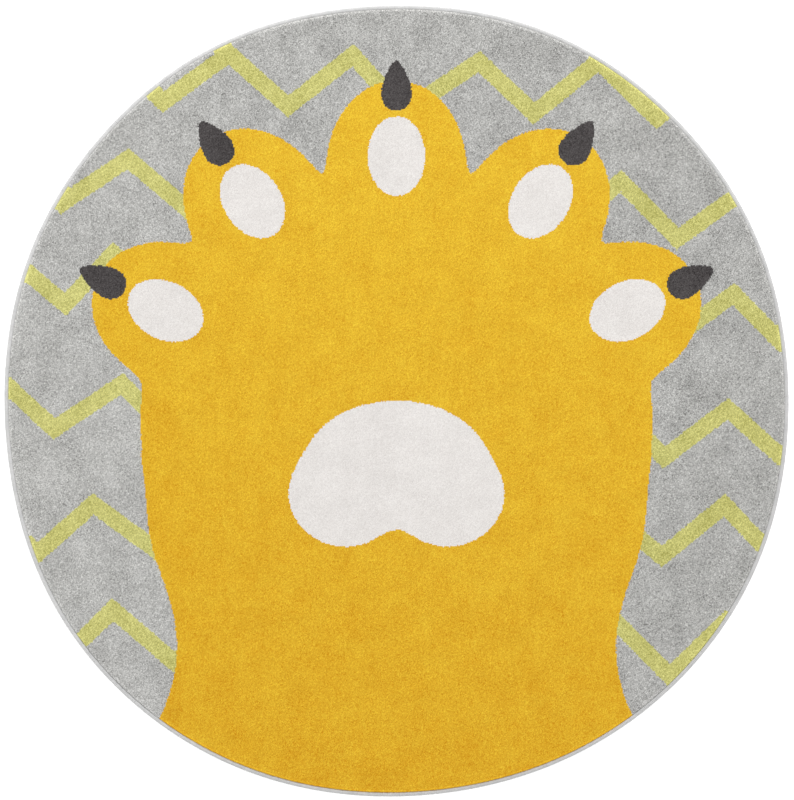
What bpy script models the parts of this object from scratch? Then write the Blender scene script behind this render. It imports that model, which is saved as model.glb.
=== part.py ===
"""A round kids rug: a disc of woven short-pile cloth, and the overlocked binding round its edge.

Metres, +Z up. The rug lies flat, with its underside on Z = 0 and the middle of its outline at the
origin. Every cross-section is drawn as (inset, height): how far in from the rug's outline a point
lies, and how high it is above the floor.
"""

import math

import bmesh
import bpy

MM = 0.001

# Driving dimensions
RUG_RADIUS = 0.800
RUG_THICKNESS = 11.0 * MM
BINDING_WIDTH = 9.0 * MM
BINDING_HEIGHT = 8.0 * MM
BINDING_WALL = 1.5 * MM
BINDING_ROUNDING = 3.8 * MM
LIP_ROUNDING = 1.2 * MM
PILE_RIM_ROUNDING = 2.6 * MM
FIT_GAP = 0.3 * MM

# How the cut edge strays from a true circle: waves in one turn, the share of the radius that each
# wave adds at its crest, and the angle of its first crest, counted from +X towards +Y.
OUTLINE_WAVES = (
    {"waves": 2, "share": 0.0047, "crest_deg": 77.4},
    {"waves": 3, "share": 0.0021, "crest_deg": -14.5},
    {"waves": 4, "share": 0.0054, "crest_deg": -41.8},
    {"waves": 7, "share": 0.0010, "crest_deg": 14.4},
    {"waves": 8, "share": 0.0014, "crest_deg": -20.1},
)

# Yarn colours (linear light) and how dull each yarn is
MUSTARD = (0.79, 0.47, 0.035)
PALE_GREY = (0.68, 0.67, 0.65)
PILE_ROUGHNESS = 0.95
BINDING_ROUGHNESS = 0.85
YARN_SHEEN = 0.3

# Smoothness
OUTLINE_STEPS = 144
ROUND_CORNER_STEPS = 3
HIDDEN_CORNER_STEPS = 2
LIP_CORNER_STEPS = 2
SHARP_ANGLE = math.radians(40)


def outline_radius(angle):
    """The rug's radius in one direction."""
    stray = sum(
        wave["share"] * math.cos(wave["waves"] * (angle - math.radians(wave["crest_deg"])))
        for wave in OUTLINE_WAVES
    )
    return RUG_RADIUS * (1 + stray)


def raw_outline(inset):
    """Points round the rug, a given way in from its outline."""
    angles = (math.tau * step / OUTLINE_STEPS for step in range(OUTLINE_STEPS))
    return [
        (
            (outline_radius(angle) - inset) * math.cos(angle),
            (outline_radius(angle) - inset) * math.sin(angle),
        )
        for angle in angles
    ]


def middle(values):
    """Halfway between the lowest and the highest of some numbers."""
    values = list(values)
    return (min(values) + max(values)) / 2


def outline(inset):
    """The same points, moved so that the middle of the whole outline is at the origin."""
    edge = raw_outline(0)
    middle_x = middle(x for x, _ in edge)
    middle_y = middle(y for _, y in edge)
    return [(x - middle_x, y - middle_y) for x, y in raw_outline(inset)]


def corner(centre, radius, start_deg, turn_deg, steps):
    """Points round a corner of a cross-section. 0 degrees points at the rug's middle, 90 points up."""
    inset, height = centre
    angles = (math.radians(start_deg + turn_deg * step / steps) for step in range(steps + 1))
    return [
        (inset + radius * math.cos(angle), height + radius * math.sin(angle)) for angle in angles
    ]


def cloth_section():
    """The cloth, from the flat of the pile out to the tongue and back under it."""
    pile_inset = BINDING_WIDTH + FIT_GAP
    tongue_inset = BINDING_WALL + FIT_GAP
    tongue_top = BINDING_HEIGHT - BINDING_WALL - FIT_GAP
    tongue_bottom = BINDING_WALL + FIT_GAP
    rounding = BINDING_ROUNDING - BINDING_WALL - FIT_GAP
    pile_rim = (pile_inset + PILE_RIM_ROUNDING, RUG_THICKNESS - PILE_RIM_ROUNDING)
    upper_end = (tongue_inset + rounding, tongue_top - rounding)
    lower_end = (tongue_inset + rounding, tongue_bottom + rounding)
    return [
        *corner(pile_rim, PILE_RIM_ROUNDING, 90, 90, ROUND_CORNER_STEPS),
        (pile_inset, tongue_top),
        *corner(upper_end, rounding, 90, 90, HIDDEN_CORNER_STEPS),
        *corner(lower_end, rounding, 180, 90, HIDDEN_CORNER_STEPS),
        (pile_inset, tongue_bottom),
        (pile_inset, 0.0),
    ]


def binding_section():
    """The binding, a C that opens towards the rug's middle and holds the tongue."""
    inner_rounding = BINDING_ROUNDING - BINDING_WALL
    lip = (BINDING_WIDTH - LIP_ROUNDING, BINDING_HEIGHT - LIP_ROUNDING)
    upper = (BINDING_ROUNDING, BINDING_HEIGHT - BINDING_ROUNDING)
    lower = (BINDING_ROUNDING, BINDING_ROUNDING)
    return [
        *corner(lip, LIP_ROUNDING, 0, 90, LIP_CORNER_STEPS),
        *corner(upper, BINDING_ROUNDING, 90, 90, ROUND_CORNER_STEPS),
        *corner(lower, BINDING_ROUNDING, 180, 90, ROUND_CORNER_STEPS),
        (BINDING_WIDTH, 0.0),
        (BINDING_WIDTH, BINDING_WALL),
        *corner(lower, inner_rounding, 270, -90, HIDDEN_CORNER_STEPS),
        *corner(upper, inner_rounding, 180, -90, HIDDEN_CORNER_STEPS),
        (BINDING_WIDTH, BINDING_HEIGHT - BINDING_WALL),
    ]


def ring_round_rug(bm, inset, height):
    """One closed ring of points that runs round the rug."""
    return [bm.verts.new((x, y, height)) for x, y in outline(inset)]


def skin(bm, ring, following):
    """A band of faces between two rings."""
    here = zip(ring, ring[1:] + ring[:1])
    there = zip(following, following[1:] + following[:1])
    for (near, near_next), (far, far_next) in zip(here, there):
        bm.faces.new((near, near_next, far_next, far))


def sweep_round_rug(bm, section):
    """Carries a cross-section round the rug, and returns its rings."""
    rings = [ring_round_rug(bm, inset, height) for inset, height in section]
    for ring, following in zip(rings, rings[1:]):
        skin(bm, ring, following)
    return rings


def yarn_material(name, colour, roughness):
    """Dull yarn of one colour."""
    material = bpy.data.materials.new(name)
    material.use_nodes = True
    shader = material.node_tree.nodes["Principled BSDF"]
    shader.inputs["Base Color"].default_value = (*colour, 1.0)
    shader.inputs["Roughness"].default_value = roughness
    shader.inputs["Metallic"].default_value = 0.0
    shader.inputs["Sheen Weight"].default_value = YARN_SHEEN
    return material


def place(name, bm, material):
    """Turns a drawn mesh into an object of the scene."""
    bmesh.ops.recalc_face_normals(bm, faces=bm.faces)
    mesh = bpy.data.meshes.new(name)
    bm.to_mesh(mesh)
    bm.free()
    mesh.shade_smooth()
    mesh.set_sharp_from_angle(angle=SHARP_ANGLE)
    mesh.materials.append(material)
    bpy.context.collection.objects.link(bpy.data.objects.new(name, mesh))


def build_cloth():
    """The cloth: its pile and its backing are one weave, so they are one solid."""
    bm = bmesh.new()
    rings = sweep_round_rug(bm, cloth_section())
    bm.faces.new(rings[0])
    bm.faces.new(rings[-1])
    place("rug_cloth", bm, yarn_material("mustard pile", MUSTARD, PILE_ROUGHNESS))


def build_binding():
    """The overlocked edge: a closed ring round the cloth's tongue."""
    bm = bmesh.new()
    rings = sweep_round_rug(bm, binding_section())
    skin(bm, rings[-1], rings[0])
    place("edge_binding", bm, yarn_material("pale binding yarn", PALE_GREY, BINDING_ROUGHNESS))


for leftover in list(bpy.data.objects):
    bpy.data.objects.remove(leftover)

build_cloth()
build_binding()
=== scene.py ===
"""A round kids rug: cut pile in five yarns on a woven back, with an overlocked edge.

Metres, +Z up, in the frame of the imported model. The design is a paw held up on rows of zigzags.
"""

import math

import bpy
import numpy as np
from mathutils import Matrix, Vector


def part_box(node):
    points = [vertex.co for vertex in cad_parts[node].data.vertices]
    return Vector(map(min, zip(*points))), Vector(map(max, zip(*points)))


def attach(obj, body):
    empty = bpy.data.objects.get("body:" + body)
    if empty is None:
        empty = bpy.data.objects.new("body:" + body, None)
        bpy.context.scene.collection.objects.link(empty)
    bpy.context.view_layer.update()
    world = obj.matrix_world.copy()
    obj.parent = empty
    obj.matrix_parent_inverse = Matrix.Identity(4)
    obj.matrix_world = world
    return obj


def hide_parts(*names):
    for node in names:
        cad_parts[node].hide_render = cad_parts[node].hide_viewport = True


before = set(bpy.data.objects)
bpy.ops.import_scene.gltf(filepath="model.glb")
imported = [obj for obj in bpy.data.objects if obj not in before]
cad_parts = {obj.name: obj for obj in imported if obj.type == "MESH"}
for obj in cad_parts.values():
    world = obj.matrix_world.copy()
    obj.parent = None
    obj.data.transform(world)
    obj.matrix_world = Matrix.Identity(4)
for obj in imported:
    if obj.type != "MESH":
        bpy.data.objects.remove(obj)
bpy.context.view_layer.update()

MM = 0.001

# Points round the outline of the solids, round the back, and along the line of the stitches
OUTLINE_STEPS = 144
BACK_STEPS = 4 * OUTLINE_STEPS
PATH_STEPS = 8 * OUTLINE_STEPS

# Heights above the floor and insets from the rug's outline. The tongue is a little slimmer than the
# solid's, which leaves room for the stitches round it.
RUG_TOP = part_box("rug_cloth")[1].z
EDGE_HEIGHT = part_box("edge_binding")[1].z
PILE_INSET = 9.3 * MM
PILE_FOOT_INSET = 8.7 * MM
BACK_THICKNESS = 2.6 * MM
TONGUE_INSET = 2.3 * MM
TONGUE_LOW = 1.8 * MM
TONGUE_HIGH = 5.2 * MM
TONGUE_ROUNDING = 0.8 * MM

# The cut pile: how far tufts stand apart, sway sideways and differ in height
TUFT_PITCH = 2.4 * MM
TUFT_SWAY = 0.42 * MM
TUFT_UNEVEN = 0.17 * MM
PILE_TOP = RUG_TOP - 0.55 * MM
# The slow waves of its surface, and the shortest and longest of them
NAP_WAVES = 14
NAP_RISE = 0.03 * MM
NAP_LENGTHS = (0.03, 0.14)
# How far a tuft may stray from the design's edge, as a share of the pitch
YARN_STRAY = 0.35
# The most rounds in which tufts that meet at a corner only are changed
WEAVE_PASSES = 12
# The pile's rounded rim, from the field of tufts outwards, and how far its tufts stray in and out
PILE_RIM = (
    {"inset": 12.4 * MM, "height": 10.4 * MM, "stray": 0.20 * MM},
    {"inset": 11.0 * MM, "height": 10.15 * MM, "stray": 0.50 * MM},
    {"inset": 9.8 * MM, "height": 9.45 * MM, "stray": 0.65 * MM},
    {"inset": 9.05 * MM, "height": 8.1 * MM, "stray": 0.15 * MM},
)
FIELD_INSET = PILE_RIM[0]["inset"] + 0.4 * TUFT_PITCH
# Name of the attribute that says how near to the rim a tuft is. There a highlight is painted on the pile.
# The painted highlight has faded out this many widths of the rim inwards.
RIM_SHARE = "rim_share"
RIM_HIGHLIGHT_REACH = 1.5

# The overlocked edge: its stitches, and the C that the yarn of each follows
STITCH_PITCH = 3.4 * MM
YARN_WIDTH = 3.9 * MM
YARN_THICKNESS = 1.5 * MM
STITCH_SIDES = 6
STITCH_ROUNDING = 3.8 * MM
STITCH_CREST = 5.8 * MM
STITCH_REACH = 8.8 * MM
STITCH_DIP = 0.9 * MM
STITCH_LEAN = 1.1 * MM
# The steps from a stitch's inner end to its outer bend, as shares, and the steps of its bends
STITCH_RUN = (0.10, 0.20, 0.70)
UPPER_BEND_STEPS = 3
LOWER_BEND_STEPS = 2
# How far a stitch strays along the edge and inwards, and how flat it may be drawn
STITCH_STRAY = {"along": 0.09 * MM, "inwards": 0.10 * MM, "flattest": 0.965}

# Degrees between two faces, from which the edge between them is sharp
PILE_SHARP_FROM = 62
BACK_SHARP_FROM = 50
YARN_SHARP_FROM = 75

# Seeds of the chance in each job
SEEDS = {"zigzags": 11, "weave": 3, "tufts": 5, "rim": 8, "stitches": 21}

# The maps of a piece: its finish as the part keeps it, and how the yarn of a stitch runs
BAKE_MAP = "OFBake"
YARN_RUN = "yarn_run"
# Where a piece lies on its map, as shares of the map
MAP_MARGIN = 0.006
SIDE_ON_MAP = 0.003
SPARE_CORNER = 0.13
STITCH_ROWS = 16
STITCH_MARGIN = 0.08
# A face whose normal rises less than this is mapped as a side
STEEP = 0.3

# The design, in metres from the rug's middle. A heading is turned clockwise from straight up.
ZIGZAG = {"turns": 18, "turn_step": 0.124, "rise": 0.106, "stripe": 0.034, "hand": 0.008}
# Each row's height at the rug's middle, its slope and the place of its first turn, a peak
ZIGZAG_ROWS = (
    {"height": 0.642, "slope": -0.035, "first_turn": -1.086},
    {"height": 0.412, "slope": -0.055, "first_turn": -1.040},
    {"height": 0.204, "slope": -0.060, "first_turn": -1.054},
    {"height": -0.036, "slope": -0.045, "first_turn": -1.066},
    {"height": -0.258, "slope": -0.005, "first_turn": -1.092},
    {"height": -0.486, "slope": -0.020, "first_turn": -1.062},
    {"height": -0.716, "slope": -0.030, "first_turn": -1.050},
)
FAN_CENTRE = (0.0, -0.045)
TOES = (
    {"heading": -64.0, "reach": 0.500},
    {"heading": -33.0, "reach": 0.515},
    {"heading": 0.0, "reach": 0.520},
    {"heading": 33.0, "reach": 0.515},
    {"heading": 64.0, "reach": 0.500},
)
# What lies on the line of each toe, and how far out from the toe's middle
TOE = {"out": 0.0, "half": (0.140, 0.170)}
TOE_PAD = {"out": 0.018, "half": (0.058, 0.080)}
CLAW = {"out": 0.160, "half": (0.029, 0.050), "taper": 0.42}
PALM = (
    {"centre": (0.0, -0.035), "half": (0.515, 0.400), "heading": 0.0},
    {"centre": (0.0, -0.240), "half": (0.490, 0.320), "heading": 0.0},
)
PALM_PAD = (
    {"centre": (0.0, -0.115), "half": (0.172, 0.115), "heading": 0.0},
    {"centre": (-0.115, -0.200), "half": (0.102, 0.090), "heading": 25.0},
    {"centre": (0.115, -0.200), "half": (0.102, 0.090), "heading": -25.0},
)
WRIST = {"y": -0.48, "half_width": 0.440, "flare": 1.5}
ARM_TOP = -0.10
PALM_SOFTNESS = 0.030
TOE_SOFTNESS = 0.014
PAD_SOFTNESS = 0.026

# The yarns of the pile, from the deepest to the palest tuft, and how much paler the pile gets in a
# metre to the right and in a metre towards the top of the design
YARNS = GREY, LIME, MUSTARD, CREAM, CHARCOAL = range(5)
YARN_LOOKS = (
    {"name": "grey pile", "deep": (0.12, 0.118, 0.11), "pale": (0.85, 0.845, 0.82), "sweep": (-0.05, -0.02)},
    {"name": "lime pile", "deep": (0.28, 0.267, 0.035), "pale": (0.95, 0.92, 0.358), "sweep": (-0.045, 0)},
    {"name": "mustard pile", "deep": (0.65, 0.255, 0), "pale": (1.0, 0.72, 0.054), "sweep": (0.02, 0.12)},
    {"name": "cream pile", "deep": (0.715, 0.675, 0.645), "pale": (1.0, 0.97, 0.94), "sweep": (0, 0)},
    {"name": "charcoal pile", "deep": (0.012, 0.009, 0.009), "pale": (0.14, 0.128, 0.128), "sweep": (0, 0)},
)
LEFT, WHOLE, RIGHT = -1, 0, 1
# The plots that the pile is modelled in. Side says which half of the rug a plot lies in.
PLOTS = (
    {"name": "grey_pile_left", "yarn": GREY, "side": LEFT, "slot": "pile_grey"},
    {"name": "grey_pile_right", "yarn": GREY, "side": RIGHT, "slot": "pile_grey"},
    {"name": "lime_zigzag_pile", "yarn": LIME, "side": WHOLE, "slot": "pile_lime"},
    {"name": "mustard_pile_left", "yarn": MUSTARD, "side": LEFT, "slot": "pile_mustard"},
    {"name": "mustard_pile_right", "yarn": MUSTARD, "side": RIGHT, "slot": "pile_mustard"},
    {"name": "cream_pad_pile", "yarn": CREAM, "side": WHOLE, "slot": "pile_cream"},
    {"name": "charcoal_claw_pile", "yarn": CHARCOAL, "side": WHOLE, "slot": "pile_charcoal"},
)

# How strongly each thing shows in the pile's tone: strands of yarn, and the way that the pile lies
STRANDS_SHOW = 0.8
LIE_SHOWS = 0.17
# The same for its brightness, all painted light and shade: painted shade round each tuft's crown, painted
# light on high tips, and a painted highlight at the rim
PILE_BRIGHTNESS = 1.01
MEAN_CROWN = 0.55
CREVICE_SHADE_SHOWS = 0.2
TIP_LIGHT_SHOWS = 0.1
TIP_DEPTH = 0.6 * MM
RIM_HIGHLIGHT_SHOWS = 0.32

# The weave of the back
RIB_PITCH = 4.2 * MM
WARP_PITCH = 6.1 * MM

# Plies of the edge's yarn across and along a stitch, and the fibres in them
PLIES = (7, 5)
FIBRES = (44, 8, 1)
# How strongly each thing shows in its brightness
EDGE_BRIGHTNESS = 1.04
PLY_SHOWS = 0.05
FIBRE_SHOWS = 0.25
PATCH_SHOWS = 0.16
INNER_SHADE = 0.12

# The picture's height in pixels, how much of the rug a pixel shows, and how many pixels the middle of
# the picture lies to the right of the rug's middle and above it
PICTURE_HEIGHT = 800
PIXEL = 2.0175 * MM
OFF_CENTRE = (0.5, 0.85)
CAMERA_HEIGHT = 9.0
FLOOR_WIDTH = 60.0
ROOM_LIGHT = 0.59


# ---------------------------------------------------------------- shader maths


class Wire:
    """A socket in a material's nodes, so that shader maths reads as plain sums."""

    def __init__(self, finish, socket):
        self.finish = finish
        self.socket = socket

    def also(self, output):
        """Another output of the same node."""
        return Wire(self.finish, self.socket.node.outputs[output])

    def sum_with(self, operation, *terms):
        return self.finish.node("ShaderNodeMath", {"operation": operation}, dict(enumerate(terms)))

    def __add__(self, other):
        return self.sum_with("ADD", self, other)

    def __radd__(self, other):
        return self.sum_with("ADD", other, self)

    def __sub__(self, other):
        return self.sum_with("SUBTRACT", self, other)

    def __rsub__(self, other):
        return self.sum_with("SUBTRACT", other, self)

    def __mul__(self, other):
        return self.sum_with("MULTIPLY", self, other)

    def __rmul__(self, other):
        return self.sum_with("MULTIPLY", other, self)


class Finish:
    """A material, and the nodes that make its look."""

    def __init__(self, name, **constants):
        self.material = bpy.data.materials.new(name)
        self.material.use_nodes = True
        self.tree = self.material.node_tree
        self.shader = self.tree.nodes["Principled BSDF"]
        for socket, value in constants.items():
            self.shader.inputs[socket.replace("_", " ")].default_value = value
        self.place = self.node("ShaderNodeTexCoord", {}, {}, "Object")

    def put(self, socket, value):
        """Sets a socket to a number, or links a wire to it."""
        if isinstance(value, Wire):
            self.tree.links.new(value.socket, socket)
        else:
            socket.default_value = value

    def node(self, kind, settings, inputs, output=0):
        """Adds a node: its settings first, then its sockets' values or links."""
        made = self.tree.nodes.new(kind)
        for setting, value in settings.items():
            setattr(made, setting, value)
        for socket, value in inputs.items():
            self.put(made.inputs[socket], value)
        return Wire(self, made.outputs[output])

    def along(self, axis):
        """How far along an axis a place is, in metres."""
        return self.node("ShaderNodeSeparateXYZ", {}, {"Vector": self.place}, axis)

    def noise(self, size, detail=2.0, roughness=0.5, squeeze=(1, 1, 1)):
        """Soft noise from 0 to 1, in lumps about size metres across."""
        place = self.node(
            "ShaderNodeVectorMath", {"operation": "MULTIPLY"}, {0: self.place, 1: squeeze}
        )
        return self.node(
            "ShaderNodeTexNoise",
            {},
            {"Vector": place, "Scale": 1 / size, "Detail": detail, "Roughness": roughness},
        )

    def tufts(self, size):
        """Tufts with fibrous sides: two chance numbers for each, and how near its middle a place is."""
        fibres = self.node(
            "ShaderNodeTexNoise",
            {},
            {"Vector": self.place, "Scale": 3 / size, "Detail": 2.0},
            "Color",
        )
        place = self.node(
            "ShaderNodeVectorMath",
            {"operation": "MULTIPLY_ADD"},
            {0: fibres, 1: (size, size, size), 2: self.place},
        )
        cells = self.node("ShaderNodeTexVoronoi", {}, {"Vector": place, "Scale": 1 / size})
        chances = self.node("ShaderNodeSeparateColor", {}, {"Color": cells.also("Color")})
        return chances, chances.also("Green"), self.spread(cells, 0.9, 0.1)

    def sine(self, distance, length, stray):
        """Rises and falls from -1 to 1 once in each length."""
        turn = self.node(
            "ShaderNodeMath",
            {"operation": "MULTIPLY_ADD"},
            {0: distance, 1: math.tau / length, 2: stray},
        )
        return self.node("ShaderNodeMath", {"operation": "SINE"}, {0: turn})

    def spread(self, value, start, end):
        """Goes from 0 at start to 1 at end, and stays there."""
        return self.node(
            "ShaderNodeMapRange",
            {"clamp": True},
            {"Value": value, "From Min": start, "From Max": end},
        )

    def mix(self, factor, one, other):
        """Goes from one colour to the other."""
        return self.node(
            "ShaderNodeMix",
            {"data_type": "RGBA"},
            {"Factor": factor, 6: one, 7: other},
            2,
        )

    def shade(self, colour, brightness):
        """A colour made brighter or darker."""
        return self.node(
            "ShaderNodeVectorMath",
            {"operation": "SCALE"},
            {0: colour, "Scale": brightness},
        )

    def finish_with(self, colour, roughness, height, bump_depth):
        """Leads the look to the shader."""
        bump = self.node(
            "ShaderNodeBump",
            {},
            {"Strength": 1.0, "Distance": bump_depth, "Height": height},
        )
        self.put(self.shader.inputs["Base Color"], colour)
        self.put(self.shader.inputs["Roughness"], roughness)
        self.put(self.shader.inputs["Normal"], bump)
        return self.material


def pile_yarn(name, deep, pale, sweep):
    """Cut pile. Each tuft has its own tone, and the pile lies a little differently in patches. Painted shade
    lies between tufts, painted light on high tips and a painted highlight at the rim.
    """
    look = Finish(name, Sheen_Weight=0.06, Sheen_Roughness=0.5, Specular_IOR_Level=0.15)
    tone, shine, crown = look.tufts(1.3 * MM)
    strands = look.noise(0.8 * MM, 2.0)
    cloud = look.noise(9.0 * MM, 2.0, 0.6)
    patch = look.noise(60.0 * MM, 3.0, 0.6)
    brushed = look.noise(30.0 * MM, 2.0, 0.5, squeeze=(1, 0.3, 1))
    lie = cloud + patch * 2 + brushed - 2
    # Painted light: high tips are lighter, the lower pile darker
    tip_light = look.spread(look.along("Z"), PILE_TOP - TIP_DEPTH, RUG_TOP)
    # Painted highlight on the pile near its rim
    rim_highlight = look.node("ShaderNodeAttribute", {"attribute_name": RIM_SHARE}, {}, "Fac")
    grain = (tone + shine) * 0.5 + (strands - 0.5) * STRANDS_SHOW
    swept = look.along("X") * sweep[0] + look.along("Y") * sweep[1]
    colour = look.mix(grain + lie * LIE_SHOWS + swept, (*deep, 1.0), (*pale, 1.0))
    # Painted shade between tufts: lighter at each tuft's crown, darker at its edge
    crevice_shade = (crown - MEAN_CROWN) * CREVICE_SHADE_SHOWS
    brightness = PILE_BRIGHTNESS + crevice_shade + tip_light * TIP_LIGHT_SHOWS + rim_highlight * RIM_HIGHLIGHT_SHOWS
    height = crown + strands * 0.6
    return look.finish_with(look.shade(colour, brightness), 0.9 + tone * 0.1, height, 0.5 * MM)


def woven_yarn():
    """The plain woven back: weft ribs crossed by fine warps."""
    look = Finish("woven back", Sheen_Weight=0.05, Specular_IOR_Level=0.2)
    stray = look.noise(30.0 * MM) * 0.8
    rib = look.sine(look.along("Y"), RIB_PITCH, stray)
    warp = look.sine(look.along("X"), WARP_PITCH, stray)
    weave = rib * 0.35 + warp * 0.2 + 0.5
    tone = look.spread(weave + (look.noise(6.0 * MM, 3.0, 0.7) - 0.5) * 0.7, 0.0, 1.0)
    colour = look.mix(tone, (0.33, 0.28, 0.20, 1.0), (0.62, 0.57, 0.47, 1.0))
    return look.finish_with(colour, 0.85 + tone * 0.1, weave, 0.5 * MM)


def edge_yarn():
    """Dull twisted yarn of the overlocked edge, in plies that run round each stitch."""
    look = Finish("overlock yarn", Sheen_Weight=0.1, Sheen_Roughness=0.5, Specular_IOR_Level=0.2)
    run = look.node("ShaderNodeUVMap", {"uv_map": YARN_RUN}, {})
    across = look.node("ShaderNodeSeparateXYZ", {}, {"Vector": run})
    along = across.also("Y")
    strands = look.node("ShaderNodeVectorMath", {"operation": "MULTIPLY"}, {0: run, 1: FIBRES})
    fibre = look.node("ShaderNodeTexNoise", {}, {"Vector": strands, "Scale": 1.0, "Detail": 2.0})
    speck = look.noise(1.4 * MM)
    patch = look.noise(18.0 * MM)
    ply = look.sine(across * PLIES[0] + along * PLIES[1], 1.0, speck * 1.5)
    inner = look.spread(along, 0.6, 0.9)
    fibrous = EDGE_BRIGHTNESS + ply * PLY_SHOWS + (fibre + speck - 1) * FIBRE_SHOWS
    brightness = fibrous + (patch - 0.5) * PATCH_SHOWS - inner * INNER_SHADE
    white, grey = (0.77, 0.765, 0.76, 1.0), (0.72, 0.72, 0.715, 1.0)
    colour = look.mix(look.spread(patch, 0.3, 0.7), grey, white)
    height = ply * 0.5 + fibre
    return look.finish_with(look.shade(colour, brightness), 0.8 + fibre * 0.15, height, 0.25 * MM)


# ---------------------------------------------------------------- working with meshes


def take(piece):
    """Makes a piece the only one selected."""
    bpy.ops.object.select_all(action="DESELECT")
    piece.select_set(True)
    bpy.context.view_layer.objects.active = piece


def named(name):
    """Names the piece that is being worked on."""
    piece = bpy.context.active_object
    piece.name = name
    piece.data.name = name
    return piece


def read(values, field, width=1, kind=float):
    """Reads one field of all of a mesh's points, faces or corners."""
    found = np.empty(len(values) * width, kind)
    values.foreach_get(field, found)
    return found.reshape(-1, width) if width > 1 else found


def points_of(piece):
    return read(piece.data.vertices, "co", 3)


def move_points(piece, points):
    piece.data.vertices.foreach_set("co", points.ravel())
    piece.data.update()


def choose_faces(piece, chosen):
    """Selects faces by a list of yes and no."""
    piece.data.vertices.foreach_set("select", np.zeros(len(piece.data.vertices), bool))
    piece.data.edges.foreach_set("select", np.zeros(len(piece.data.edges), bool))
    piece.data.polygons.foreach_set("select", chosen)


def edit(select_mode):
    bpy.ops.object.mode_set(mode="EDIT")
    bpy.ops.mesh.select_mode(type=select_mode)


def leave_edit():
    bpy.ops.object.mode_set(mode="OBJECT")


def choose_open_edge():
    """Selects the edges that have a face on one side only."""
    bpy.ops.mesh.select_all(action="DESELECT")
    bpy.ops.mesh.select_non_manifold(
        extend=False, use_wire=False, use_boundary=True,
        use_multi_face=False, use_non_contiguous=False, use_verts=False,
    )


def smooth_below(piece, degrees):
    """Shades a piece smooth, but for its sharp edges."""
    take(piece)
    bpy.ops.object.shade_smooth_by_angle(angle=math.radians(degrees))


def corners_of(piece):
    """The point and the face that each face corner belongs to."""
    points = read(piece.data.loops, "vertex_index", kind=np.int32)
    sizes = read(piece.data.polygons, "loop_total", kind=np.int32)
    return points, np.repeat(np.arange(sizes.size), sizes)


def put_map(piece, name, places):
    """Gives a piece a map: a place for each face corner."""
    layer = piece.data.uv_layers.new(name=name)
    layer.data.foreach_set("uv", places.ravel())


def map_from_above(piece, up):
    """Maps the faces that look up, or down, as they are seen, and the rest beside them."""
    point, face = corners_of(piece)
    corner = points_of(piece)[point]
    normal = read(piece.data.polygons, "normal", 3)[face]
    low, size = corner[:, :2].min(0), np.ptp(corner[:, :2], axis=0)
    scale = (1 - 2 * MAP_MARGIN) / size.max()
    short = size.argmin()
    spare = 1 - 3 * MAP_MARGIN - scale * size[short]
    places = MAP_MARGIN + (corner[:, :2] - low) * scale
    # The hidden faces lie beside the seen ones, or small in a corner where the map has no room
    away = (corner[:, :2] - low) * min(spare / size[short], scale) + MAP_MARGIN
    away[:, short] += MAP_MARGIN + scale * size[short]
    if spare < SPARE_CORNER:
        away = 1 - MAP_MARGIN - SPARE_CORNER * (1 - (corner[:, :2] - low) / size.max())
    # A side's upper points are moved out, so that it has a width on the map
    level = (corner[:, 2] - corner[:, 2].min()) / np.ptp(corner[:, 2])
    sideways = np.abs(normal[:, 2]) < STEEP
    away[sideways] += normal[sideways, :2] * level[sideways, None] * SIDE_ON_MAP
    hidden = normal[:, 2] * up < STEEP
    places[hidden] = away[hidden]
    put_map(piece, BAKE_MAP, places)


def dress(piece, material, slot, *nodes):
    """Gives a piece its finish, ties it to the root body and hides the solids that it stands for."""
    piece.data.materials.clear()
    piece.data.materials.append(material)
    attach(piece, "root")
    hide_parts(*nodes)


# ---------------------------------------------------------------- the rug's outline


def read_outline():
    """The rug's radius in each direction, from the widest ring of the binding's solid."""
    points = points_of(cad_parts["edge_binding"])
    ring = points[np.abs(points[:, 2] - EDGE_HEIGHT / 2) < EDGE_HEIGHT / 10]
    angles = np.arctan2(ring[:, 1], ring[:, 0])
    radii = np.hypot(ring[:, 0], ring[:, 1])
    directions = (angles / math.tau * OUTLINE_STEPS).round()
    order = np.lexsort((radii, directions))
    widest = order[np.flatnonzero(np.diff(directions[order], append=np.inf))]
    return angles[widest], radii[widest]


OUTLINE_ANGLES, OUTLINE_RADII = read_outline()


def rim(angle, inset=0.0):
    """How far the rug reaches in a direction, less an inset."""
    return np.interp(angle, OUTLINE_ANGLES, OUTLINE_RADII, period=math.tau) - inset


def on_rim(angle, inset, height):
    """Points round the rug."""
    reach = rim(angle, inset)
    heights = np.broadcast_to(height, angle.shape)
    return np.column_stack((reach * np.cos(angle), reach * np.sin(angle), heights))


def angle_of(points):
    return np.arctan2(points[:, 1], points[:, 0])


# ---------------------------------------------------------------- the design


def turned(x, y, centre, heading):
    """Places seen from a centre, across and along a heading."""
    angle = math.radians(heading)
    right, up = x - centre[0], y - centre[1]
    across = right * math.cos(angle) - up * math.sin(angle)
    along = right * math.sin(angle) + up * math.cos(angle)
    return across, along


def past_oval(x, y, centre, half, heading=0.0):
    """How far outside an oval each place lies. It is below 0 inside."""
    across, along = turned(x, y, centre, heading)
    share = np.hypot(across / half[0], along / half[1])
    steepness = np.hypot(across / half[0] ** 2, along / half[1] ** 2) + 1e-9
    return share * (share - 1) / steepness


def past_claw(x, y, centre, heading):
    """The same for a claw, round at the toe and pointed at its tip."""
    across, along = turned(x, y, centre, heading)
    share = np.clip(along / CLAW["half"][1], -1, 1)
    width = CLAW["half"][0] * np.sqrt(1 - share**2) * (1 - CLAW["taper"] * share)
    return np.where(np.abs(share) < 1, np.abs(across) - width, 1.0)


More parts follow.
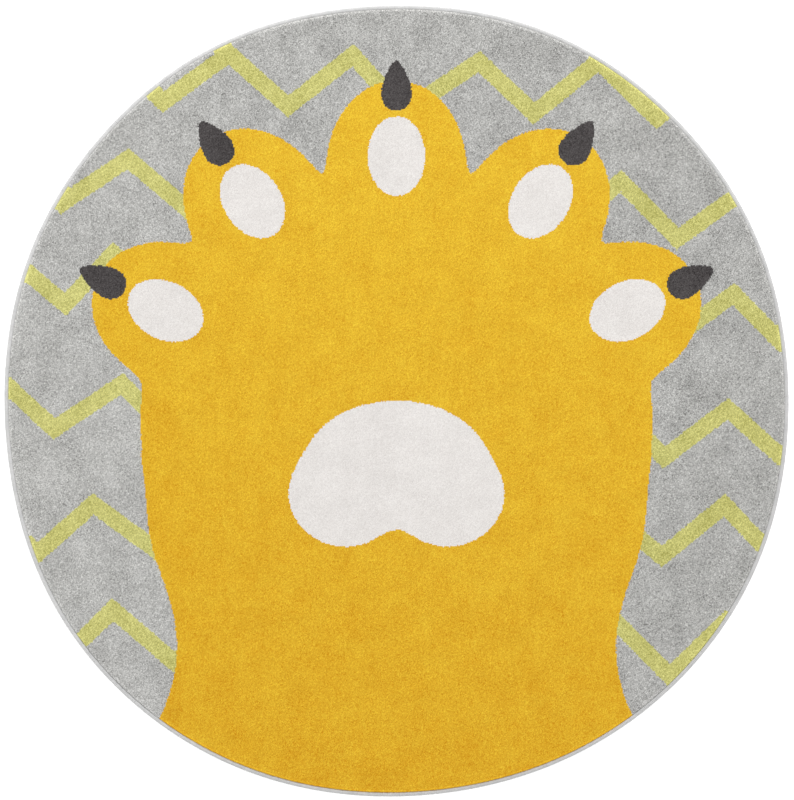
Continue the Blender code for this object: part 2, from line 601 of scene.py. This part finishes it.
def past_arm(x, y):
    """The same for the arm, which widens below the wrist and runs off the rug."""
    width = WRIST["half_width"] + WRIST["flare"] * np.minimum(y - WRIST["y"], 0) ** 2
    return np.where(y < ARM_TOP, np.abs(x) - width, 1.0)


def melted(shapes, softness):
    """Joins shapes, with a soft fillet where they meet."""
    return -softness * np.log(sum(np.exp(-np.clip(shape, -1, 1) / softness) for shape in shapes))


def on_toe(toe, out):
    """A place on the line of a toe."""
    angle = math.radians(toe["heading"])
    reach = toe["reach"] + out
    return FAN_CENTRE[0] + reach * math.sin(angle), FAN_CENTRE[1] + reach * math.cos(angle)


def past_each_toe(x, y, oval):
    """How far outside an oval on each of the toes each place lies."""
    return [past_oval(x, y, on_toe(toe, oval["out"]), oval["half"], toe["heading"]) for toe in TOES]


def on_zigzag(x, y, row, chance):
    """Whether a place is on one row of the zigzag, which is drawn a little unevenly."""
    turns = np.arange(ZIGZAG["turns"])
    turn_x = row["first_turn"] + ZIGZAG["turn_step"] * turns
    turn_y = row["height"] + row["slope"] * turn_x + np.where(turns % 2, -0.5, 0.5) * ZIGZAG["rise"]
    turn_x = turn_x + chance.normal(0, ZIGZAG["hand"], turns.size)
    turn_y = turn_y + chance.normal(0, ZIGZAG["hand"] / 2, turns.size)
    leg = np.clip(np.searchsorted(turn_x, x) - 1, 0, turns.size - 2)
    slope = (turn_y[leg + 1] - turn_y[leg]) / (turn_x[leg + 1] - turn_x[leg])
    off = (y - turn_y[leg] - (x - turn_x[leg]) * slope) / np.hypot(1, slope)
    return np.abs(off) < ZIGZAG["stripe"] / 2


def yarns_at(x, y):
    """Which yarn the design has at each place."""
    chance = np.random.default_rng(SEEDS["zigzags"])
    palm = melted([past_oval(x, y, **oval) for oval in PALM] + [past_arm(x, y)], PALM_SOFTNESS)
    toes = past_each_toe(x, y, TOE)
    pads = past_each_toe(x, y, TOE_PAD)
    claws = [past_claw(x, y, on_toe(toe, CLAW["out"]), toe["heading"]) for toe in TOES]
    palm_pad = melted([past_oval(x, y, **oval) for oval in PALM_PAD], PAD_SOFTNESS)
    yarns = np.full(x.shape, GREY)
    for row in ZIGZAG_ROWS:
        yarns[on_zigzag(x, y, row, chance)] = LIME
    yarns[melted([palm, *toes], TOE_SOFTNESS) < 0] = MUSTARD
    yarns[np.min([palm_pad, *pads], axis=0) < 0] = CREAM
    yarns[np.min(claws, axis=0) < 0] = CHARCOAL
    return yarns


# ---------------------------------------------------------------- the pile


def without_corner_touches(weave):
    """Changes single tufts, so that no yarn meets itself at a corner only. -1 is off the rug."""
    first, second = weave[:-1, :-1], weave[:-1, 1:]
    third, fourth = weave[1:, :-1], weave[1:, 1:]
    on_rug = (first >= 0) & (second >= 0)
    for _ in range(WEAVE_PASSES):
        falling = (first == fourth) & (second != first) & (third != first) & on_rug
        second[falling] = first[falling]
        rising = (second == third) & (first != second) & (fourth != second) & on_rug
        first[rising] = second[rising]
        if not falling.any() and not rising.any():
            break
    return weave


def weave_design(pile, cells):
    """Gives each tuft its yarn. Along the edges of the design single tufts stray."""
    chance = np.random.default_rng(SEEDS["weave"])
    middles = read(pile.data.polygons, "center", 3)[:, :2]
    columns, rows = ((middles / TUFT_PITCH + cells / 2).astype(int)).T
    stray = chance.uniform(-YARN_STRAY, YARN_STRAY, middles.shape) * TUFT_PITCH
    weave = np.full((cells, cells), -1)
    weave[rows, columns] = yarns_at(*(middles + stray).T)
    weave = without_corner_touches(weave)
    pile.data.polygons.foreach_set("material_index", weave[rows, columns].astype(np.int32))


def nap(x, y, chance):
    """The slow rise and fall of the pile's surface."""
    rise = np.zeros(x.size)
    for _ in range(NAP_WAVES):
        heading, phase = chance.uniform(0, math.tau, 2)
        length = chance.uniform(*NAP_LENGTHS)
        rise += np.sin((x * math.cos(heading) + y * math.sin(heading)) * math.tau / length + phase)
    return rise * NAP_RISE


def tuft_tips(points, cells, chance):
    """Uneven tips: high tufts stand among low ones."""
    columns, rows = (points[:, :2] / TUFT_PITCH + cells / 2).round().astype(int).T
    tips = chance.uniform(-1, 1, (cells + 1, cells + 1))
    around = sum(np.roll(tips, step, axis) for step in (-1, 1) for axis in (0, 1)) / 4
    return (tips - around)[rows, columns] * TUFT_UNEVEN


def round_off_pile(pile):
    """Takes the field of tufts out to its rounded rim."""
    chance = np.random.default_rng(SEEDS["rim"])
    edit("EDGE")
    choose_open_edge()
    leave_edit()
    for number, step in enumerate(PILE_RIM):
        if number > 0:
            edit("EDGE")
            bpy.ops.mesh.extrude_edges_move()
            leave_edit()
        points = points_of(pile)
        chosen = read(pile.data.vertices, "select", kind=bool)
        outwards, upwards = chance.uniform(-1, 1, (2, chosen.sum()))
        inset = step["inset"] - outwards * step["stray"]
        height = step["height"] + upwards * TUFT_UNEVEN
        points[chosen] = on_rim(angle_of(points[chosen]), inset, height)
        move_points(pile, points)
    # How near the rim each point is, which sets the highlight painted on the pile there
    inset = rim(angle_of(points)) - np.hypot(points[:, 0], points[:, 1])
    share = RIM_HIGHLIGHT_REACH - (inset - PILE_INSET) / (PILE_RIM[0]["inset"] - PILE_INSET)
    rim_highlight = pile.data.attributes.new(RIM_SHARE, "FLOAT", "POINT")
    rim_highlight.data.foreach_set("value", np.clip(share, 0, 1))


def grow_pile():
    """One field of tufts for the whole rug, with a tuft at each point of a grid."""
    cells = 2 * math.ceil(OUTLINE_RADII.max() / TUFT_PITCH)
    bpy.ops.object.select_all(action="DESELECT")
    bpy.ops.mesh.primitive_grid_add(
        x_subdivisions=cells, y_subdivisions=cells, size=cells * TUFT_PITCH, location=(0, 0, 0)
    )
    pile = named("pile")
    middles = read(pile.data.polygons, "center", 3)
    choose_faces(pile, np.hypot(middles[:, 0], middles[:, 1]) > rim(angle_of(middles), FIELD_INSET))
    edit("FACE")
    bpy.ops.mesh.delete(type="FACE")
    leave_edit()
    # One empty slot for each yarn, because the slot of a face says which yarn it is
    for _ in YARNS:
        pile.data.materials.append(None)
    weave_design(pile, cells)
    chance = np.random.default_rng(SEEDS["tufts"])
    points = points_of(pile)
    heights = PILE_TOP + nap(points[:, 0], points[:, 1], chance) + tuft_tips(points, cells, chance)
    points[:, 2] = np.minimum(heights, RUG_TOP)
    points[:, :2] += chance.uniform(-1, 1, (len(points), 2)) * TUFT_SWAY
    move_points(pile, points)
    round_off_pile(pile)
    return pile


def part_plot(pile, plot):
    """Takes one plot out of the pile, as a piece of its own."""
    yarns = read(pile.data.polygons, "material_index", kind=np.int32)
    middles = read(pile.data.polygons, "center", 3)
    take(pile)
    choose_faces(pile, (yarns == plot["yarn"]) & (middles[:, 0] * plot["side"] >= 0))
    edit("FACE")
    bpy.ops.mesh.separate(type="SELECTED")
    leave_edit()
    (piece,) = set(bpy.context.selected_objects) - {pile}
    take(piece)
    return named(plot["name"])


def root_pile(piece):
    """Closes a plot of pile: its sides go down to the woven back, and its roots lie on it."""
    take(piece)
    edit("EDGE")
    choose_open_edge()
    bpy.ops.mesh.extrude_edges_move()
    bpy.ops.transform.resize(value=(1, 1, 0), center_override=(0, 0, BACK_THICKNESS))
    bpy.ops.mesh.fill(use_beauty=False)
    bpy.ops.mesh.select_all(action="SELECT")
    bpy.ops.mesh.normals_make_consistent(inside=False)
    leave_edit()
    smooth_below(piece, PILE_SHARP_FROM)
    map_from_above(piece, 1)


def build_piles():
    """The whole pile, plot by plot."""
    yarn_looks = [pile_yarn(**look) for look in YARN_LOOKS]
    pile = grow_pile()
    pieces = []
    for plot in PLOTS:
        piece = part_plot(pile, plot)
        root_pile(piece)
        dress(piece, yarn_looks[plot["yarn"]], plot["slot"], "rug_cloth")
        pieces.append(piece)
    bpy.data.objects.remove(pile)
    return pieces


# ---------------------------------------------------------------- the woven back


def step_out(back, inset, height):
    """Extrudes the chosen loop of the back to an inset and a height."""
    edit("EDGE")
    bpy.ops.mesh.extrude_edges_move()
    leave_edit()
    points = points_of(back)
    chosen = read(back.data.vertices, "select", kind=bool)
    points[chosen] = on_rim(angle_of(points[chosen]), inset, height)
    move_points(back, points)


def build_back():
    """The woven back, with the tongue that the edge is sewn round."""
    bpy.ops.object.select_all(action="DESELECT")
    bpy.ops.mesh.primitive_circle_add(
        vertices=BACK_STEPS, radius=1.0, fill_type="NGON", location=(0, 0, 0)
    )
    back = named("woven_back")
    move_points(back, on_rim(angle_of(points_of(back)), PILE_INSET, 0.0))
    edit("EDGE")
    choose_open_edge()
    leave_edit()
    rounded = TONGUE_INSET + TONGUE_ROUNDING
    for inset, height in (
        (PILE_INSET, TONGUE_LOW),
        (rounded, TONGUE_LOW),
        (TONGUE_INSET, TONGUE_LOW + TONGUE_ROUNDING),
        (TONGUE_INSET, TONGUE_HIGH - TONGUE_ROUNDING),
        (rounded, TONGUE_HIGH),
        (PILE_FOOT_INSET, TONGUE_HIGH),
        (PILE_FOOT_INSET, BACK_THICKNESS),
    ):
        step_out(back, inset, height)
    edit("EDGE")
    bpy.ops.mesh.edge_face_add()
    bpy.ops.mesh.select_all(action="SELECT")
    bpy.ops.mesh.normals_make_consistent(inside=False)
    leave_edit()
    smooth_below(back, BACK_SHARP_FROM)
    map_from_above(back, -1)
    dress(back, woven_yarn(), "woven_backing", "rug_cloth")
    return back


# ---------------------------------------------------------------- the overlocked edge


def spin_yarn(steps, inset, height):
    """Leads the yarn round a corner of the rug's edge, outwards and down."""
    bpy.ops.mesh.spin(
        steps=steps, angle=math.radians(90), center=(0, inset, height), axis=(-1, 0, 0)
    )


def pull_yarn(inset, height):
    """Leads the yarn straight on."""
    bpy.ops.mesh.extrude_region_move(TRANSFORM_OT_translate={"value": (0, inset, height)})


def arch_and_lean(stitch):
    """Widens the stitch's round part to its crest, sinks its inner end to the cloth, and leans it."""
    points = points_of(stitch)
    made, wanted = (0, STITCH_ROUNDING, STITCH_REACH), (0, STITCH_CREST, STITCH_REACH)
    points[:, 1] = np.interp(points[:, 1], made, wanted)
    share = np.clip((points[:, 1] - STITCH_CREST) / (STITCH_REACH - STITCH_CREST), 0, 1)
    upper = points[:, 2] > EDGE_HEIGHT / 2
    points[upper, 2] -= STITCH_DIP * share[upper] ** 4
    points[:, 0] += (points[:, 2] / EDGE_HEIGHT - 0.5) * STITCH_LEAN
    move_points(stitch, points)


def map_yarn(stitch):
    """Maps a stitch across its yarn, its outer side and then its inner side, and along it."""
    point, face = corners_of(stitch)
    corner = points_of(stitch)[point]
    normal = read(stitch.data.polygons, "normal", 3)[face]
    across = corner[:, 0] / (YARN_WIDTH + STITCH_LEAN) + 0.5
    out, up = STITCH_REACH - corner[:, 1], corner[:, 2] - EDGE_HEIGHT / 2
    along = np.arctan2(up, out) / math.pi + 0.5
    inner = normal[:, 2] * up - normal[:, 1] * out < 0
    put_map(stitch, YARN_RUN, np.clip(np.column_stack(((across + inner) / 2, along)), 0, 1))


def bend_stitch():
    """One stitch of yarn, as a C round an edge that runs along X. Y is the inset."""
    bpy.ops.object.select_all(action="DESELECT")
    bpy.ops.mesh.primitive_circle_add(
        vertices=STITCH_SIDES, radius=0.5, fill_type="NGON",
        location=(0, STITCH_REACH, EDGE_HEIGHT - YARN_THICKNESS / 2), rotation=(math.radians(90), 0, 0),
    )
    stitch = named("stitch")
    stitch.scale = (YARN_WIDTH, YARN_THICKNESS, 1)
    bpy.ops.object.transform_apply(location=True, rotation=True, scale=True)
    run = STITCH_REACH - STITCH_ROUNDING
    edit("FACE")
    bpy.ops.mesh.select_all(action="SELECT")
    for share in STITCH_RUN:
        pull_yarn(-run * share, 0)
    spin_yarn(UPPER_BEND_STEPS, STITCH_ROUNDING, EDGE_HEIGHT - STITCH_ROUNDING)
    pull_yarn(0, 2 * STITCH_ROUNDING - EDGE_HEIGHT)
    spin_yarn(LOWER_BEND_STEPS, STITCH_ROUNDING, STITCH_ROUNDING)
    pull_yarn(run, 0)
    bpy.ops.mesh.select_all(action="SELECT")
    bpy.ops.mesh.remove_doubles(threshold=0.01 * MM)
    bpy.ops.mesh.normals_make_consistent(inside=False)
    leave_edit()
    arch_and_lean(stitch)
    smooth_below(stitch, YARN_SHARP_FROM)
    map_yarn(stitch)
    return stitch


def edge_path():
    """The line that the stitches follow, and its length."""
    angle = np.linspace(0, math.tau, PATH_STEPS, endpoint=False)
    line = on_rim(angle, 0.0, 0.0)
    path = bpy.data.curves.new("edge_path", "CURVE")
    path.dimensions = "3D"
    spline = path.splines.new("POLY")
    spline.points.add(len(line) - 1)
    spline.points.foreach_set("co", np.column_stack((line, np.ones(len(line)))).ravel())
    spline.use_cyclic_u = True
    guide = bpy.data.objects.new("edge_path", path)
    bpy.context.scene.collection.objects.link(guide)
    return guide, float(np.linalg.norm(line - np.roll(line, -1, axis=0), axis=1).sum())


def map_stitches(stitches, count):
    """Gives each stitch a cell of its own on the edge's map."""
    cell = read(stitches.data.uv_layers[YARN_RUN].data, "uv", 2)
    cell = STITCH_MARGIN + cell * (1 - 2 * STITCH_MARGIN)
    number = np.arange(len(cell)) // (len(cell) // count)
    in_row = math.ceil(count / STITCH_ROWS)
    places = np.column_stack((number % in_row, number // in_row)) + cell
    put_map(stitches, BAKE_MAP, places / (in_row, STITCH_ROWS))


def loosen_stitches(stitches, count):
    """Unevenness of the work: each stitch is shifted and flattened a little."""
    chance = np.random.default_rng(SEEDS["stitches"])
    points = points_of(stitches).reshape(count, -1, 3)
    middle = EDGE_HEIGHT / 2
    points[:, :, 0] += chance.normal(0, STITCH_STRAY["along"], (count, 1))
    points[:, :, 1] += np.abs(chance.normal(0, STITCH_STRAY["inwards"], (count, 1)))
    flatness = chance.uniform(STITCH_STRAY["flattest"], 1.0, (count, 1))
    points[:, :, 2] = middle + (points[:, :, 2] - middle) * flatness
    move_points(stitches, points.reshape(-1, 3))


def overlock_edge():
    """The stitches, side by side round the whole rug."""
    stitch = bend_stitch()
    guide, length = edge_path()
    count = round(length / STITCH_PITCH)
    take(stitch)
    row = stitch.modifiers.new("row", "ARRAY")
    row.count = count
    row.use_relative_offset = False
    row.use_constant_offset = True
    row.constant_offset_displace = (length / count, 0, 0)
    bpy.ops.object.modifier_apply(modifier=row.name)
    map_stitches(stitch, count)
    loosen_stitches(stitch, count)
    round_rug = stitch.modifiers.new("round rug", "CURVE")
    round_rug.object = guide
    bpy.ops.object.modifier_apply(modifier=round_rug.name)
    bpy.data.objects.remove(guide)
    edge = named("overlocked_edge")
    dress(edge, edge_yarn(), "binding_yarn", "edge_binding")
    return edge


# ---------------------------------------------------------------- the photo's camera and light


def lay_floor():
    """A plain pale floor."""
    bpy.ops.object.select_all(action="DESELECT")
    bpy.ops.mesh.primitive_plane_add(size=FLOOR_WIDTH, location=(0, 0, 0))
    floor = named("floor")
    look = Finish("pale floor", Roughness=0.9, Emission_Strength=0.5)
    look.put(look.shader.inputs["Emission Color"], (1, 1, 1, 1))
    colour = look.mix(look.noise(size=0.6), (0.93, 0.93, 0.93, 1), (0.95, 0.95, 0.95, 1))
    look.put(look.shader.inputs["Base Color"], colour)
    floor.data.materials.append(look.material)


def hang_lamp(name, energy, size, azimuth, elevation, distance):
    """A soft square lamp that points at the rug. Azimuth 0 is at the top of the picture."""
    lamp = bpy.data.lights.new(name, "AREA")
    lamp.energy = energy
    lamp.size = size
    holder = bpy.data.objects.new(name, lamp)
    bpy.context.scene.collection.objects.link(holder)
    turn, lift = math.radians(azimuth), math.radians(elevation)
    holder.location = (
        distance * math.sin(turn) * math.cos(lift),
        distance * math.cos(turn) * math.cos(lift),
        distance * math.sin(lift),
    )
    holder.rotation_euler = (-holder.location).to_track_quat("-Z", "Y").to_euler()


def light_room():
    """Even light from all round, and a soft lamp past the top of the picture."""
    hang_lamp("window", energy=1200.0, size=5.0, azimuth=2.0, elevation=43.0, distance=14.0)
    world = bpy.data.worlds.new("room")
    bpy.context.scene.world = world
    world.use_nodes = True
    world.node_tree.nodes["Background"].inputs["Color"].default_value = (1, 1, 1, 1)
    world.node_tree.nodes["Background"].inputs["Strength"].default_value = ROOM_LIGHT


def set_camera():
    """Straight above the rug, at the photo's scale."""
    eye = bpy.data.cameras.new("eye")
    eye.sensor_width = 36.0
    eye.lens = eye.sensor_width * CAMERA_HEIGHT / (PICTURE_HEIGHT * PIXEL)
    camera = bpy.data.objects.new("eye", eye)
    bpy.context.scene.collection.objects.link(camera)
    camera.location = (OFF_CENTRE[0] * PIXEL, OFF_CENTRE[1] * PIXEL, CAMERA_HEIGHT)
    bpy.context.scene.camera = camera
    bpy.context.scene.view_settings.view_transform = "Standard"


# ---------------------------------------------------------------- making the rug

piles = build_piles()
back = build_back()
edge = overlock_edge()

lay_floor()
light_room()
set_camera()
